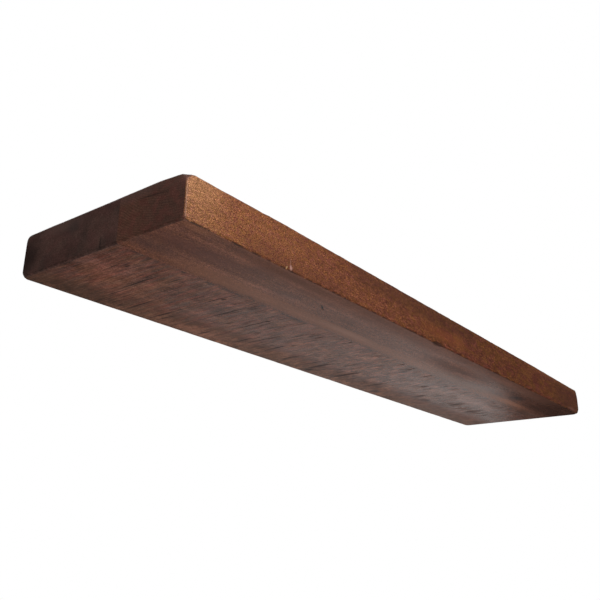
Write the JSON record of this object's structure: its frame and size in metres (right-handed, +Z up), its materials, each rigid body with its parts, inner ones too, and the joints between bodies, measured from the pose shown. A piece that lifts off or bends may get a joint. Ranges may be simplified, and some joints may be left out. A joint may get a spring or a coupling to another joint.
{
  "type": "floating wall shelf",
  "caption": "Thick solid-wood floating shelf of edge-glued boards with rounded edges, bored to slide onto the rods of a hidden steel wall bracket.",
  "frame": {"origin": "middle of the bracket's flat back face on the wall plane, level with the middle of the shelf's back edge", "axes": "+X along the shelf, to the right for someone who faces the wall; +Y into the wall; +Z up"},
  "size_m": [0.9, 0.2, 0.04],
  "materials": {
    "front_wood": "satin oil over a walnut-brown stain, lengthwise grain",
    "rear_wood": "satin oil over a walnut-brown stain, mottled with short cross-grain figure",
    "bracket_steel": "black powder coat",
    "rod_steel": "turned bright steel",
    "screw_steel": "bright zinc plate"
  },
  "bodies": {
    "bracket": {"wall_plate": "bracket_steel", "support_rod_1": "rod_steel", "support_rod_2": "rod_steel", "support_rod_3": "rod_steel", "support_rod_4": "rod_steel", "rod_screw_1": "screw_steel", "rod_screw_2": "screw_steel", "rod_screw_3": "screw_steel", "rod_screw_4": "screw_steel"},
    "shelf": {"front_board": "front_wood", "rear_board": "rear_wood"}
  },
  "joints": [
    {"name": "shelf_slide", "type": "slide", "parent": "bracket", "child": "shelf", "axis": [0, -1, 0], "range_m": [0, 0.14]}
  ]
}
